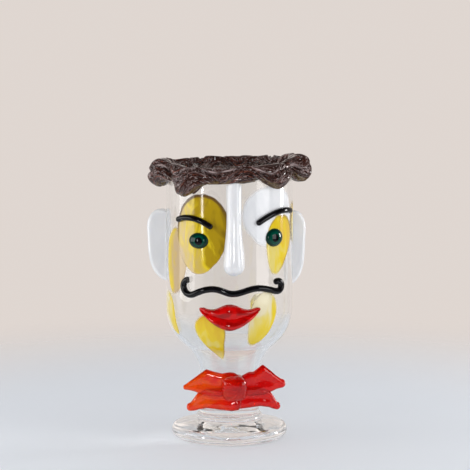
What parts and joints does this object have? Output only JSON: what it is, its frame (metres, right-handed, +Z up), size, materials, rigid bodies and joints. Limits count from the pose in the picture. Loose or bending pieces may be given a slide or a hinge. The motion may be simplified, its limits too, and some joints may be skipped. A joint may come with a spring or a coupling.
{
  "type": "face vase",
  "caption": "Standing glass vase shaped as a head: clear vessel on a foot with applied hair ruffle, face, ears and bow tie in coloured glass; holds cut stems.",
  "frame": {"origin": "centre of the foot's flat underside", "axes": "+Z up along the vessel's axis, the face looks along -Y, +X to the viewer's right"},
  "size_m": [0.1834, 0.1733, 0.3163],
  "materials": {
    "clear_glass": "clear blown glass, fire polished",
    "hair_glass": "dark aubergine glass with pale mauve streaks, glossy",
    "white_glass": "opal white glass, glossy",
    "black_glass": "opaque black glass, glossy",
    "green_glass": "dark emerald glass, glossy",
    "red_glass": "deep red glass, glossy",
    "bow_glass": "translucent red-orange glass, glossy",
    "yellow_patch": "streaky golden yellow glass in the wall",
    "white_patch": "milky white glass in the wall"
  },
  "bodies": {
    "root": {"bow_knot": "bow_glass", "bow_left_wing": "bow_glass", "bow_right_wing": "bow_glass", "collar": "clear_glass", "foot": "clear_glass", "hair": "hair_glass", "left_brow": "black_glass", "left_ear": "white_glass", "left_eye": "green_glass", "left_pupil": "black_glass", "lips": "red_glass", "moustache": "black_glass", "nose": "white_glass", "patch_back_high": "yellow_patch", "patch_back_low": "yellow_patch", "patch_back_white": "white_patch", "patch_brow_right": "white_patch", "patch_cheek_left": "yellow_patch", "patch_cheek_right": "yellow_patch", "patch_chin_left": "yellow_patch", "patch_chin_right": "yellow_patch", "patch_low_left": "yellow_patch", "patch_side_left": "yellow_patch", "patch_side_right": "yellow_patch", "right_brow": "black_glass", "right_ear": "white_glass", "right_eye": "green_glass", "right_pupil": "black_glass", "vessel": "clear_glass"}
  },
  "joints": []
}
